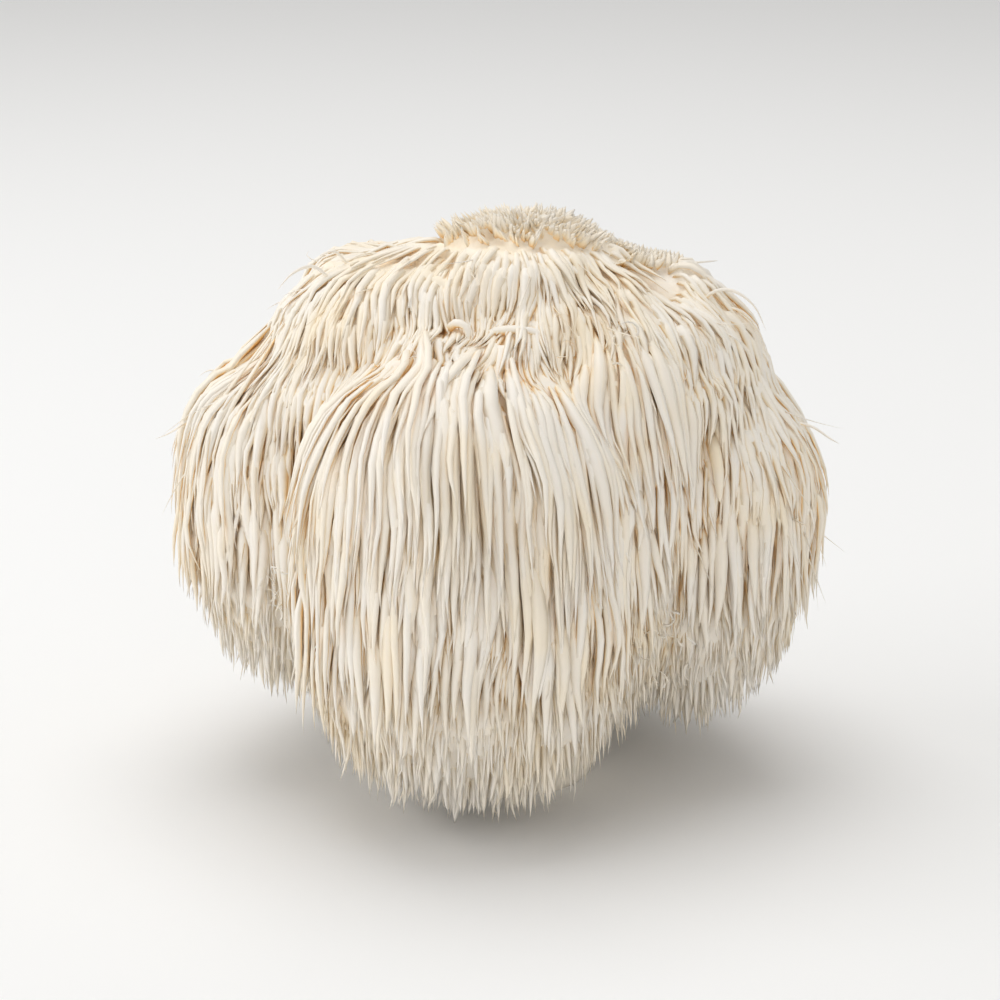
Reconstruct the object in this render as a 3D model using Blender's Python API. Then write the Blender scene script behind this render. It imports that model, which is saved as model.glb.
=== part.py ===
"""A picked lion's mane mushroom: one piece of flesh that carries hanging spines.

The mushroom is a cluster of rounded lobes grown together. Every lobe is covered with
tapering spines that leave the flesh, drape over it and hang straight down. It was cut
off flat underneath, where it grew, and it stands on that cut. Metres, +Z up; the origin
is the middle of its footprint on the surface it stands on, and -Y is its front.
"""

import math
from typing import NamedTuple

import bmesh
import bpy
import numpy as np
from mathutils import Matrix, Vector

NAME = "lions_mane"


class Lobe(NamedTuple):
    """One rounded swelling of the flesh, an ellipsoid, and the spines that it carries."""

    centre: tuple
    radii: tuple
    spine_length: float
    skirt_low: float  # height of the lowest tips, under the middle of the lobe
    skirt_power: float  # 2 gives the tips a round outline, more a fuller one
    box: float = 2.0  # the same for the lobe's own upright outline: more gives it shoulders


LOBES = {
    "front": Lobe((-0.0075, -0.028, 0.077), (0.0380, 0.034, 0.040), 0.037, 0.002, 3.0, 2.8),
    "left": Lobe((-0.049, 0.008, 0.079), (0.0265, 0.027, 0.030), 0.033, 0.016, 2.2, 2.5),
    "right": Lobe((0.049, 0.006, 0.076), (0.0270, 0.028, 0.030), 0.035, 0.0095, 2.2, 2.2),
    "middle_right": Lobe((0.025, -0.015, 0.091), (0.020, 0.025, 0.033), 0.045, 0.012, 2.0, 2.3),
    "upper_left": Lobe((-0.030, 0.009, 0.105), (0.026, 0.028, 0.027), 0.027, 0.030, 2.0),
    "upper_right": Lobe((0.036, 0.008, 0.101), (0.026, 0.028, 0.026), 0.030, 0.030, 2.0, 2.5),
    "crown": Lobe((0.005, 0.008, 0.112), (0.030, 0.029, 0.029), 0.022, 0.030, 2.0),
    "back_left": Lobe((-0.029, 0.034, 0.072), (0.032, 0.029, 0.033), 0.036, 0.004, 2.6, 2.3),
    "back_right": Lobe((0.029, 0.035, 0.067), (0.032, 0.028, 0.034), 0.036, 0.002, 2.6, 2.3),
    "upper_back": Lobe((0.002, 0.032, 0.098), (0.029, 0.026, 0.028), 0.030, 0.030, 2.0),
}
LOBE_SIDES = 12
LOBE_RINGS = 8
FLESH_BLEND = 0.004  # softness of the valleys that the spines follow between lobes

STUB_CENTRE = (0.0, 0.004)
STUB_RADIUS = 0.024
STUB_TOP = 0.060  # well inside the flesh
STUB_FLARE = 1.25  # the stub widens by this much towards the flesh
STUB_SIDES = 24

SKIRT_MARGIN = 0.008  # the outermost tips hang this far outside the flesh
SKIRT_DROP = 0.006  # and this far below the middle of their lobe
SKIRT_TEETH = 0.010  # how far tips hang clear below the mass of spines

SPINE_SPACING = 0.0124
SPINE_RADIUS = 0.0045
SPINE_SIDES = 4
SPINE_JOINTS = (0, 0.38, 1)  # where along a spine it bends, as shares of its length
SPINE_LONGEST = 0.050  # the spines underneath, before the skirt cuts them short
SPINE_SHORTEST = 0.010
LENGTH_SPREAD = 0.2  # share of its length by which a spine may be longer or shorter
TIP_SHARE = 0.12  # what is left of the radius where the spine comes to its point
TAPER_POWER = 1.6  # above 1 the spine stays full at first and narrows late
TIP_LIFT = 0.0006  # the lowest tips stay this far above the cut

ROOT_DEPTH = 0.005
ROOT_SCATTER = 0.3  # how far roots stray from an even spread, in spacings
ROOT_CLEARANCE = 0.7  # the least distance between two roots, in spacings
ROOT_DROOP = 0.6  # how far a spine already points down where it leaves the flesh
UNDERSIDE = 0.1  # flesh that faces upwards less than this is the underside of a lobe

DRAPE_STEPS = 24
DRAPE_PULL = 0.32  # how strongly a spine turns downwards at each step
DRAPE_PUSH = 0.2  # how strongly the flesh that it touches turns it outwards
LIFT_AT_ROOT = 0.0015  # height above the flesh that a spine keeps at its root
LIFT_PER_LENGTH = 0.11  # and what it gains on that further along
SEED = 5

DOWN = np.array([0.0, 0.0, -1.0])
CENTRES = np.array([lobe.centre for lobe in LOBES.values()])
RADII = np.array([lobe.radii for lobe in LOBES.values()])
BOXES = np.array([lobe.box for lobe in LOBES.values()])


def unit(vectors):
    """The same vectors at length 1."""
    return vectors / (np.linalg.norm(vectors, axis=-1, keepdims=True) + 1e-9)


def reach_of(scaled, box):
    """How far out points are, as shares of a lobe's radii: 1 on its surface."""
    across = np.linalg.norm(scaled[..., :2], axis=-1)
    return (across**box + np.abs(scaled[..., 2]) ** box) ** (1 / box)


def flesh_distance(points):
    """Distance of each point from the flesh, and the direction straight away from it."""
    scaled = (points[:, None] - CENTRES) / RADII
    share = reach_of(scaled, BOXES) + 1e-6
    across = np.linalg.norm(scaled[..., :2], axis=-1)
    across = (across / share) ** (BOXES - 2) / share
    upright = (np.abs(scaled[..., 2]) / share) ** (BOXES - 2) / share
    slope = scaled * np.stack([across, across, upright], axis=-1) / RADII
    gradient = np.linalg.norm(slope, axis=2) + 1e-9
    distance = (share - 1) / gradient
    weight = np.exp((distance.min(axis=1, keepdims=True) - distance) / FLESH_BLEND)
    total = weight.sum(axis=1)
    blended = distance.min(axis=1) - FLESH_BLEND * np.log(total)
    away = (weight[..., None] * slope / gradient[..., None]).sum(axis=1)
    return blended, unit(away)


def even_directions(count):
    """Unit vectors spread evenly over a ball along a spiral."""
    steps = np.arange(count) + 0.5
    turn = steps * math.pi * (3 - math.sqrt(5))
    height = 1 - 2 * steps / count
    ring = np.sqrt(1 - height**2)
    return np.stack([np.cos(turn) * ring, np.sin(turn) * ring, height], axis=1)


def spread_roots(chance):
    """Points on the outside of the flesh, about SPINE_SPACING apart."""
    found = []
    for lobe in LOBES.values():
        radii = np.array(lobe.radii)
        count = int(4 * math.pi * (radii.mean() / SPINE_SPACING) ** 2)
        scatter = chance.normal(0, ROOT_SCATTER * SPINE_SPACING / radii.mean(), (count, 3))
        aims = unit(even_directions(count) + scatter)
        points = lobe.centre + aims / reach_of(aims, lobe.box)[:, None] * radii
        distance, away = flesh_distance(points)
        on_outside = distance > -FLESH_BLEND
        found.append((points - away * distance[:, None])[on_outside])
    kept = []
    for point in np.concatenate(found):
        gaps = [np.linalg.norm(point - other) for other in kept]
        if min(gaps, default=1) > ROOT_CLEARANCE * SPINE_SPACING:
            kept.append(point)
    return np.array(kept)


def drape(roots, lengths):
    """The path of each spine in small steps: out of the flesh, over it and down."""
    step = (lengths / DRAPE_STEPS)[:, None]
    heading = unit(flesh_distance(roots)[1] + ROOT_DROOP * DOWN)
    path = [roots]
    for done in range(DRAPE_STEPS):
        distance, away = flesh_distance(path[-1] + heading * step / 2)
        wanted = LIFT_AT_ROOT + LIFT_PER_LENGTH * step[:, 0] * done
        contact = np.clip((wanted - distance) / FLESH_BLEND, 0, 1)[:, None]
        heading = unit(heading + DRAPE_PULL * DOWN)
        inward = np.minimum((heading * away).sum(axis=1, keepdims=True), 0)
        heading = unit(heading + away * contact * (DRAPE_PUSH - inward))
        path.append(path[-1] + heading * step)
    return np.stack(path, axis=1)


def skirt_height(path, owners):
    """How low the tips may hang at each point of a path, by the lobe that owns it."""
    lobes = [list(LOBES.values())[owner] for owner in owners]
    low = np.array([lobe.skirt_low for lobe in lobes])[:, None]
    power = np.array([lobe.skirt_power for lobe in lobes])[:, None]
    centre = CENTRES[owners][:, None]
    reach = RADII[owners][:, None, :2] + SKIRT_MARGIN
    out = np.linalg.norm((path[..., :2] - centre[..., :2]) / reach, axis=2)
    middle = centre[..., 2] - SKIRT_DROP
    return middle - (middle - low) * (1 - np.clip(out, 0, 1) ** power) ** (1 / power)


def joints_of(paths, shares):
    """The points where each spine bends, once only a share of its path is left."""
    at = shares[:, None] * np.array(SPINE_JOINTS) * DRAPE_STEPS
    before = np.minimum(at.astype(int), DRAPE_STEPS - 1)
    beyond = (at - before)[..., None]
    spine = np.arange(len(paths))[:, None]
    return paths[spine, before] * (1 - beyond) + paths[spine, before + 1] * beyond


def spine_paths(chance):
    """The bends of every spine, cut where it would hang below its lobe's skirt."""
    roots = spread_roots(chance)
    owners = np.argmin(reach_of((roots[:, None] - CENTRES) / RADII, BOXES), axis=1)
    natural = np.array([list(LOBES.values())[owner].spine_length for owner in owners])
    spread = chance.uniform(1 - LENGTH_SPREAD, 1 + LENGTH_SPREAD, len(roots))
    underneath = flesh_distance(roots)[1][:, 2] < UNDERSIDE
    lengths = np.where(underneath, SPINE_LONGEST, natural * spread)
    paths = drape(roots, lengths)
    below = paths[..., 2] < skirt_height(paths, owners)
    shares = np.where(below.any(axis=1), below.argmax(axis=1) / DRAPE_STEPS, 1)
    on_stub = np.hypot(*(roots[:, :2] - STUB_CENTRE).T) < STUB_RADIUS
    kept = (lengths * shares > SPINE_SHORTEST) & ~(on_stub & underneath)
    bends = joints_of(paths[kept], shares[kept])
    bends[..., 2] = np.maximum(bends[..., 2], TIP_LIFT)
    return bends


def build_lobe(owner):
    """One lobe: a ball of flesh, let down below its middle to just above its lowest tips."""
    shape = bmesh.new()
    bmesh.ops.create_uvsphere(shape, u_segments=LOBE_SIDES, v_segments=LOBE_RINGS, radius=1)
    for vert in shape.verts:
        aim = np.array(vert.co)
        vert.co = CENTRES[owner] + aim / reach_of(aim, BOXES[owner]) * RADII[owner]
        if vert.co.z < CENTRES[owner][2] - SKIRT_DROP:
            tips = skirt_height(np.array([[vert.co]]), [owner])[0, 0]
            vert.co.z = min(vert.co.z, tips + SKIRT_TEETH)
    return shape


def build_stub():
    """The cut foot, from the cut face up into the flesh."""
    shape = bmesh.new()
    bmesh.ops.create_cone(
        shape,
        cap_ends=True,
        segments=STUB_SIDES,
        radius1=STUB_RADIUS,
        radius2=STUB_RADIUS * STUB_FLARE,
        depth=STUB_TOP,
        matrix=Matrix.Translation((*STUB_CENTRE, STUB_TOP / 2)),
    )
    return shape


def build_spine(path, turn):
    """One tapering spine: a jointed cone, each of whose rings is moved onto the path."""
    shape = bmesh.new()
    upright = Matrix.Rotation(turn, 4, "Z") @ Matrix.Translation((0, 0, 0.5))
    bmesh.ops.create_cone(
        shape,
        cap_ends=True,
        segments=SPINE_SIDES,
        radius1=1,
        radius2=0,
        depth=1,
        matrix=upright,
    )
    for share in SPINE_JOINTS[1:-1]:
        whole = shape.verts[:] + shape.edges[:] + shape.faces[:]
        bmesh.ops.bisect_plane(shape, geom=whole, plane_co=(0, 0, share), plane_no=(0, 0, 1))
    points = [Vector(point) for point in path]
    points[0] -= (points[1] - points[0]).normalized() * ROOT_DEPTH
    last = len(points) - 1
    for vert in shape.verts:
        joint = min(range(len(points)), key=lambda number: abs(SPINE_JOINTS[number] - vert.co.z))
        aim = points[min(joint + 1, last)] - points[max(joint - 1, 0)]
        radius = SPINE_RADIUS * (1 - (1 - TIP_SHARE) * SPINE_JOINTS[joint] ** TAPER_POWER)
        across = Vector((*vert.co.xy.normalized(), 0)) * (radius if joint < last else 0)
        vert.co = points[joint] + aim.to_track_quat("Z", "Y") @ across
    return shape


def add_object(name, shape, collection):
    """A bmesh as an object in a collection."""
    mesh = bpy.data.meshes.new(name)
    shape.to_mesh(mesh)
    shape.free()
    made = bpy.data.objects.new(name, mesh)
    collection.objects.link(made)
    return made


def outer_shell(shape):
    """Drops the sealed pockets that spines enclose between them, and keeps the outside."""
    unseen = set(shape.verts)
    shells = []
    while unseen:
        front = [unseen.pop()]
        shell = set(front)
        while front:
            reached = {edge.other_vert(vert) for vert in front for edge in vert.link_edges}
            front = list(reached - shell)
            shell |= reached
        unseen -= shell
        shells.append(shell)
    largest = max(shells, key=len)
    pockets = [vert for shell in shells if shell is not largest for vert in shell]
    bmesh.ops.delete(shape, geom=pockets, context="VERTS")


def fuse(base, pieces):
    """The base object joined with every object of a collection, as one closed mesh."""
    joined = base.modifiers.new("Grown together", "BOOLEAN")
    joined.operation = "UNION"
    joined.operand_type = "COLLECTION"
    joined.collection = pieces
    graph = bpy.context.evaluated_depsgraph_get()
    mesh = bpy.data.meshes.new_from_object(base.evaluated_get(graph))
    shape = bmesh.new()
    shape.from_mesh(mesh)
    outer_shell(shape)
    shape.to_mesh(mesh)
    shape.free()
    base.modifiers.remove(joined)
    base.data = mesh


def flesh_material():
    """Ivory, matt and slightly moist."""
    material = bpy.data.materials.new("ivory_flesh")
    material.use_nodes = True
    shader = material.node_tree.nodes["Principled BSDF"]
    shader.inputs["Base Color"].default_value = (0.80, 0.71, 0.57, 1)
    shader.inputs["Roughness"].default_value = 0.55
    shader.inputs["Metallic"].default_value = 0
    return material


def clear_scene():
    """Removes whatever the scene starts with."""
    for leftover in list(bpy.data.objects):
        bpy.data.objects.remove(leftover)


def new_collection(name):
    """An empty collection in the scene."""
    made = bpy.data.collections.new(name)
    bpy.context.scene.collection.children.link(made)
    return made


def build():
    """The whole mushroom, as one object."""
    clear_scene()
    mushroom = new_collection(NAME)
    growth = new_collection("growth")
    body = add_object(NAME, build_stub(), mushroom)
    for owner, name in enumerate(LOBES):
        add_object(f"lobe_{name}", build_lobe(owner), growth)
    for number, path in enumerate(spine_paths(np.random.default_rng(SEED))):
        add_object(f"spine_{number}", build_spine(path, number), growth)
    fuse(body, growth)
    for piece in list(growth.objects):
        bpy.data.objects.remove(piece)
    bpy.data.collections.remove(growth)
    body.data.materials.clear()
    body.data.materials.append(flesh_material())
    body.data.shade_smooth()
    body.data.set_sharp_from_angle(angle=math.radians(50))


build()
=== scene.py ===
"""Looks of a picked lion's mane mushroom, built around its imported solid.

The flesh is a cluster of grown-together lobes, ledges and knobs. Long tapering spines
leave it, drape over it and hang down in layers; shorter ones make up the mass below the
middle of each lobe. Metres, +Z up, the front is -Y, and it stands on its cut at z = 0.
"""

from __future__ import annotations

import logging
import math
from dataclasses import dataclass, replace
from enum import Enum

import bmesh
import bpy
import numpy as np
from mathutils import Matrix, Vector

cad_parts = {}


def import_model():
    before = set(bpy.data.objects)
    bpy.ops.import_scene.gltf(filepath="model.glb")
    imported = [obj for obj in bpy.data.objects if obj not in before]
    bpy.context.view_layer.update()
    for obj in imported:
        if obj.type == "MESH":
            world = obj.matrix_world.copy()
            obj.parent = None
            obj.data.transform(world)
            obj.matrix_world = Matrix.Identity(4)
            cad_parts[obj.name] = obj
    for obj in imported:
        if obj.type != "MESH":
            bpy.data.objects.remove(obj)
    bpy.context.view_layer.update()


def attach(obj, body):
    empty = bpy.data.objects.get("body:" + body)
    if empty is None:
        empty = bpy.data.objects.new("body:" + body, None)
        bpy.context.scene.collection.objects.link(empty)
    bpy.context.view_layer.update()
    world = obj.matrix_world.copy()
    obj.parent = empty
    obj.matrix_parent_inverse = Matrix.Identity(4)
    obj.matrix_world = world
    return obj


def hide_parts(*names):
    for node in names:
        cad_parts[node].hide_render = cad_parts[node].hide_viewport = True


LOG = logging.getLogger("lions_mane")
MM = 0.001
NODE = "lions_mane"
BODY = "root"
SEED = 7
DOWN = np.array([0.0, 0.0, -1.0])
LEVEL = np.array([1.0, 1.0, 0.0])  # a factor that leaves the part along the floor
FLOOR_GAP = 0.6 * MM  # the lowest that a spine hangs
GOLDEN_TURN = math.pi * (3 - math.sqrt(5))  # between neighbours of an even spread


def unit(vectors: np.ndarray) -> np.ndarray:
    """The same vectors at length 1."""
    return vectors / (np.linalg.norm(vectors, axis=-1, keepdims=True) + 1e-9)


def ease(values: np.ndarray, low: float, high: float) -> np.ndarray:
    """0 below low, 1 above high and a smooth step between them."""
    share = np.clip((values - low) / (high - low), 0, 1)
    return share * share * (3 - 2 * share)


def reach_of(scaled: np.ndarray, box: np.ndarray | float) -> np.ndarray:
    """How far out points are in a lobe's own axes, 1 on its surface.

    Args:
        scaled: Places from the lobe's centre as shares of its radii.
        box: The power of its upright profile: 2 is round and more has shoulders.

    Returns:
        One share for each point.
    """
    across = np.linalg.norm(scaled[..., :2], axis=-1)
    return (across**box + np.abs(scaled[..., 2]) ** box) ** (1 / box)


def at_steps(paths: np.ndarray, at: np.ndarray) -> np.ndarray:
    """Points between the points of paths.

    Args:
        paths: The points of each path, in order.
        at: The places wanted, in steps from its start, for each path or the same for all.

    Returns:
        The points there, a row for each path.
    """
    before = np.minimum(at.astype(int), paths.shape[1] - 2)
    beyond = (at - before)[..., None]
    path = np.arange(len(paths))[:, None]
    return paths[path, before] * (1 - beyond) + paths[path, before + 1] * beyond


def above_floor(paths: np.ndarray) -> np.ndarray:
    """The same paths, kept off the floor."""
    return np.concatenate([paths[..., :2], np.maximum(paths[..., 2:], FLOOR_GAP)], axis=-1)


def read(items: bpy.types.bpy_prop_collection, name: str) -> np.ndarray:
    """A vector of each vertex of a mesh, or of each of its normals."""
    values = np.empty(len(items) * 3, np.float32)
    items.foreach_get(name, values)
    return values.reshape(-1, 3)


def write(mesh: bpy.types.Mesh, **attributes: np.ndarray) -> None:
    """Stores a number or a vector for each vertex, under each given name."""
    for name, values in attributes.items():
        kind, field = ("FLOAT", "value") if values.ndim == 1 else ("FLOAT_VECTOR", "vector")
        made = mesh.attributes.new(name, kind, "POINT")
        made.data.foreach_set(field, np.ascontiguousarray(values, np.float32).ravel())


def dress(piece: bpy.types.Object, material: bpy.types.Material) -> bpy.types.Object:
    """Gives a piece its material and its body.

    Args:
        piece: A finished mesh object at the origin.
        material: The finish it wears.

    Returns:
        The same piece.
    """
    piece.data.materials.clear()
    piece.data.materials.append(material)
    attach(piece, BODY)
    piece.data.calc_loop_triangles()
    LOG.info("%s: %d triangles", piece.name, len(piece.data.loop_triangles))
    return piece


def add_object(name: str, mesh: bpy.types.Mesh) -> bpy.types.Object:
    """A mesh as an object in the scene, smooth shaded."""
    made = bpy.data.objects.new(name, mesh)
    bpy.context.scene.collection.objects.link(made)
    mesh.shade_smooth()
    return made


# ---------------------------------------------------------------------------- shader maths


class Value:
    """A node's output; arithmetic on it adds the Math nodes that work it out."""

    def __init__(self, graph: Graph, socket: bpy.types.NodeSocket) -> None:
        """Wraps one output socket of a graph."""
        self.graph = graph
        self.socket = socket

    def __add__(self, other: Value | float) -> Value:
        """self + other."""
        return self.graph.math("ADD", self, other)

    def __radd__(self, other: float) -> Value:
        """other + self."""
        return self.graph.math("ADD", other, self)

    def __sub__(self, other: Value | float) -> Value:
        """self - other."""
        return self.graph.math("SUBTRACT", self, other)

    def __rsub__(self, other: float) -> Value:
        """other - self."""
        return self.graph.math("SUBTRACT", other, self)

    def __mul__(self, other: Value | float) -> Value:
        """self * other."""
        return self.graph.math("MULTIPLY", self, other)

    def __rmul__(self, other: float) -> Value:
        """other * self."""
        return self.graph.math("MULTIPLY", other, self)


class Graph:
    """A material and the nodes it is made of."""

    def __init__(self, name: str) -> None:
        """Starts an empty material of that name."""
        self.material = bpy.data.materials.new(name)
        self.material.use_nodes = True
        self.nodes = self.material.node_tree.nodes
        self.links = self.material.node_tree.links
        self.nodes.clear()

    def node(
        self, kind: str, settings: dict | None = None, inputs: dict | None = None
    ) -> bpy.types.Node:
        """Makes any node.

        Args:
            kind: The node's type.
            settings: Properties, which are set first.
            inputs: Values, or Values to link, by socket name or number.

        Returns:
            The node.
        """
        made = self.nodes.new(kind)
        for name, setting in (settings or {}).items():
            setattr(made, name, setting)
        for name, given in (inputs or {}).items():
            if isinstance(given, Value):
                self.links.new(given.socket, made.inputs[name])
            else:
                made.inputs[name].default_value = given
        return made

    def out(self, node: bpy.types.Node, name: str | int = 0) -> Value:
        """One output of a node, ready for arithmetic."""
        return Value(self, node.outputs[name])

    def math(self, operation: str, first: Value | float, second: Value | float = 0) -> Value:
        """One Math node on one or two values."""
        settings = {"operation": operation}
        return self.out(self.node("ShaderNodeMath", settings, {0: first, 1: second}))

    def clamp(self, value: Value) -> Value:
        """The value, kept between 0 and 1."""
        return self.out(self.node("ShaderNodeClamp", None, {"Value": value}))

    def step(self, value: Value, low: float, high: float) -> Value:
        """0 below low, 1 above high and smooth between."""
        inputs = {"Value": value, "From Min": low, "From Max": high}
        settings = {"interpolation_type": "SMOOTHSTEP"}
        return self.out(self.node("ShaderNodeMapRange", settings, inputs))

    def attribute(self, name: str, output: str = "Fac") -> Value:
        """A per-vertex attribute of the mesh."""
        return self.out(self.node("ShaderNodeAttribute", {"attribute_name": name}), output)

    def place(self) -> Value:
        """The point's own place, in metres from the mushroom's origin."""
        return self.out(self.node("ShaderNodeTexCoord"), "Object")

    def grain(self, vector: Value, scale: float, detail: float = 2.0) -> Value:
        """Smooth noise from 0 to 1."""
        inputs = {"Vector": vector, "Scale": scale, "Detail": detail}
        return self.out(self.node("ShaderNodeTexNoise", None, inputs), "Fac")

    def blend(self, share: Value | float, first: Value | tuple, second: Value | tuple) -> Value:
        """A colour between two others.

        Args:
            share: 0 for the first colour, 1 for the second.
            first: An RGBA tuple or a Value that is a colour.
            second: The same.

        Returns:
            The blended colour.
        """
        inputs = {0: share, 6: first, 7: second}
        return self.out(self.node("ShaderNodeMix", {"data_type": "RGBA"}, inputs), 2)

    def bump(self, height: Value, strength: float, distance: float) -> Value:
        """A normal raised by a height."""
        inputs = {"Height": height, "Strength": strength, "Distance": distance}
        return self.out(self.node("ShaderNodeBump", None, inputs), "Normal")

    def surface(self, inputs: dict) -> bpy.types.Material:
        """Closes the graph with a Principled BSDF and returns its material."""
        shader = self.node("ShaderNodeBsdfPrincipled", None, inputs)
        self.node("ShaderNodeOutputMaterial", None, {"Surface": self.out(shader)})
        return self.material


def srgb(red: int, green: int, blue: int) -> tuple[float, float, float, float]:
    """A screen colour of 0 to 255 as the linear RGBA that shaders use."""
    shares = (channel / 255 for channel in (red, green, blue))
    linear = (s / 12.92 if s <= 0.04045 else ((s + 0.055) / 1.055) ** 2.4 for s in shares)
    return (*linear, 1.0)


@dataclass(frozen=True)
class FungusFinish:
    """Matt fungus flesh, ivory outside, with painted warm shade in cream and tan between the
    spines.
    """

    name: str
    ivory: tuple = srgb(246, 240, 230)
    # cream is the flesh's own patches and streaks, and also the lighter painted shade
    cream: tuple = srgb(249, 233, 203)
    # tan is only the deepest painted shade between the spines
    tan: tuple = srgb(252, 201, 124)
    roughness: float = 0.5
    varied: float = 0.2  # how far streaks change the roughness
    relief: float = 0.35 * MM  # how high streaks stand
    patches: float = 45.0  # the scale of the cream patches
    shade_cream_depths: tuple[float, float] = (0.25, 0.62)  # the depths at which the cream of the painted shade sets in
    shade_tan_depths: tuple[float, float] = (0.45, 0.88)  # and those at which the tan of the deepest painted shade does

    def material(self) -> bpy.types.Material:
        """The finish of every spine and of the flesh.

        Returns:
            A material that reads the attributes tint, depth and grain; depth paints the shade
            between the spines.
        """
        graph = Graph(self.name)
        place = graph.place()
        tint = graph.attribute("tint")
        depth = graph.attribute("depth")
        grain = graph.attribute("grain", "Vector")
        streak = graph.grain(grain, 1.0, 3.0)
        patches = graph.grain(place, self.patches)
        warm = graph.clamp(graph.step(patches, 0.42, 0.72) * 0.45 + tint * 0.4 - 0.1)
        body = graph.blend(warm, self.ivory, self.cream)
        streaked = graph.blend(graph.step(streak, 0.5, 0.8) * 0.3, body, self.cream)
        # Painted shade: cream, then tan, where the depth attribute says that spines and flesh
        # crowd round a point.
        shaded = graph.blend(graph.step(depth, *self.shade_cream_depths), streaked, self.cream)
        colour = graph.blend(graph.step(depth, *self.shade_tan_depths), shaded, self.tan)
        return graph.surface(
            {
                "Base Color": colour,
                "Roughness": self.roughness + (streak - 0.5) * self.varied,
                "Normal": graph.bump(streak, 0.35, self.relief),
                "IOR": 1.4,
            }
        )


# ---------------------------------------------------------------------------------- flesh


@dataclass(frozen=True)
class Growth:
    """How spines of one kind grow, in metres."""

    length: float
    radius: float
    spacing: float
    spread: float = 0.4  # share by which lengths vary
    droop: float = 0.6  # how far they already point down at the root
    sweep: float = 0.0  # how far they lean away from their lobe's middle at the root
    stray: float = 0.03  # how far their first direction strays
    pull: float = 0.32  # how strongly they turn downwards at each step
    rise: float = 0.085  # height gained over the flesh, as a share of length
    low: float = -0.15  # flesh that faces up less than this grows none


class Coating(Enum):
    """The kinds of spines that lobes grow."""

    LONG = Growth(35 * MM, 1.75 * MM, 2.7 * MM, 0.5, sweep=0.8, rise=0.15)
    SIDE = Growth(32 * MM, 1.6 * MM, 2.5 * MM, 0.5, sweep=0.7, rise=0.14)
    UPPER = Growth(26 * MM, 1.4 * MM, 2.7 * MM, 0.35, 0.7, 0.6, pull=0.28, rise=0.05)
    CROWN = Growth(16 * MM, 1.3 * MM, 2.5 * MM, 0.35, 0.6, 0.5, pull=0.24, rise=0.05)
    RIM = Growth(
        18 * MM, 1.2 * MM, 2.2 * MM, 0.3, sweep=0.45, pull=0.3, rise=0.05, low=-0.4
    )


@dataclass(frozen=True)
class Lobe:
    """One rounded swelling of the flesh, in metres.

    A lobe with a skirt carries a mass of hanging spines down to its height low; a knob or
    a ledge has none, and only carries what grows on it.
    """

    centre: tuple[float, float, float]
    radii: tuple[float, float, float]
    coating: Coating
    low: float = 1.0
    power: float = 2.0  # how square the skirt's edge is, seen from the side
    ridge: float = 0.0  # half the length of the line that its spines part from
    yaw: float = 0.0
    box: float = 2.0  # how square its upright profile is; 2 is round

    @property
    def skirted(self) -> bool:
        """Whether a mass of spines hangs below the lobe's middle."""
        return self.low < self.centre[2]


LONG, SIDE, UPPER, CROWN, RIM = Coating
LOBES = {
    "front": Lobe(
        (-0.0075, -0.028, 0.077), (0.038, 0.034, 0.040), LONG, 0.002, 3.0, 0.022, box=2.8
    ),
    "left": Lobe((-0.049, 0.008, 0.079), (0.0265, 0.027, 0.030), SIDE, 0.016, 2.2, box=2.5),
    "right": Lobe((0.049, 0.006, 0.076), (0.0270, 0.028, 0.030), SIDE, 0.0095, 2.2, box=2.2),
    "middle_right": Lobe(
        (0.025, -0.015, 0.091), (0.020, 0.025, 0.033), LONG, 0.012, 2.0, 0.006, box=2.3
    ),
    "upper_left": Lobe((-0.030, 0.009, 0.105), (0.026, 0.028, 0.027), UPPER, box=2.3),
    "upper_right": Lobe((0.038, 0.008, 0.101), (0.026, 0.028, 0.026), UPPER, box=2.5),
    "crown": Lobe((0.005, 0.008, 0.112), (0.030, 0.029, 0.029), CROWN),
    "back_left": Lobe((-0.029, 0.034, 0.072), (0.032, 0.029, 0.033), LONG, 0.004, 2.6, box=2.3),
    "back_right": Lobe((0.029, 0.035, 0.067), (0.032, 0.028, 0.034), LONG, 0.002, 2.6, box=2.3),
    "upper_back": Lobe((0.002, 0.032, 0.098), (0.029, 0.026, 0.028), UPPER),
}
LEDGES = {
    "shelf": Lobe((0.006, -0.012, 0.133), (0.011, 0.008, 0.005), RIM),
    "low_shelf": Lobe((0.012, -0.019, 0.122), (0.010, 0.008, 0.006), RIM),
    "left_shelf": Lobe((-0.017, -0.011, 0.127), (0.009, 0.008, 0.005), RIM),
    "far_left_shelf": Lobe((-0.033, -0.012, 0.121), (0.009, 0.008, 0.005), RIM),
    "right_shelf": Lobe((0.028, -0.009, 0.126), (0.008, 0.008, 0.005), RIM),
    "pad": Lobe((0.036, 0.005, 0.121), (0.014, 0.015, 0.0085), RIM),
    "brow": Lobe((-0.031, -0.003, 0.1275), (0.010, 0.008, 0.004), UPPER),
    "high_brow": Lobe((-0.020, 0.002, 0.132), (0.010, 0.011, 0.005), UPPER),
    "cap": Lobe((0.004, 0.001, 0.1365), (0.017, 0.015, 0.0055), RIM),
    "saddle": Lobe((0.029, 0.005, 0.125), (0.010, 0.012, 0.006), RIM),
    "back_ledge": Lobe((0.001, 0.051, 0.083), (0.012, 0.009, 0.009), SIDE),
    "left_crest": Lobe((-0.016, -0.024, 0.1155), (0.010, 0.009, 0.005), RIM),
    "right_crest": Lobe((0.002, -0.026, 0.1165), (0.010, 0.008, 0.005), RIM),
}


@dataclass(frozen=True)
class Patch:
    """A ball that marks a place on the flesh, in metres."""

    centre: tuple[float, float, float]
    radius: float

    def holds(self, points: np.ndarray) -> np.ndarray:
        """Whether each point lies in it."""
        return np.linalg.norm(points - self.centre, axis=1) < self.radius


FLAKY = (  # the top, which carries flakes and no spines
    Patch((0.005, 0.010, 0.141), 0.0205),
    Patch((0.031, 0.011, 0.129), 0.012),
)
BARE = Patch((0.036, -0.001, 0.129), 0.0085)  # the smooth place on the upper right


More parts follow.
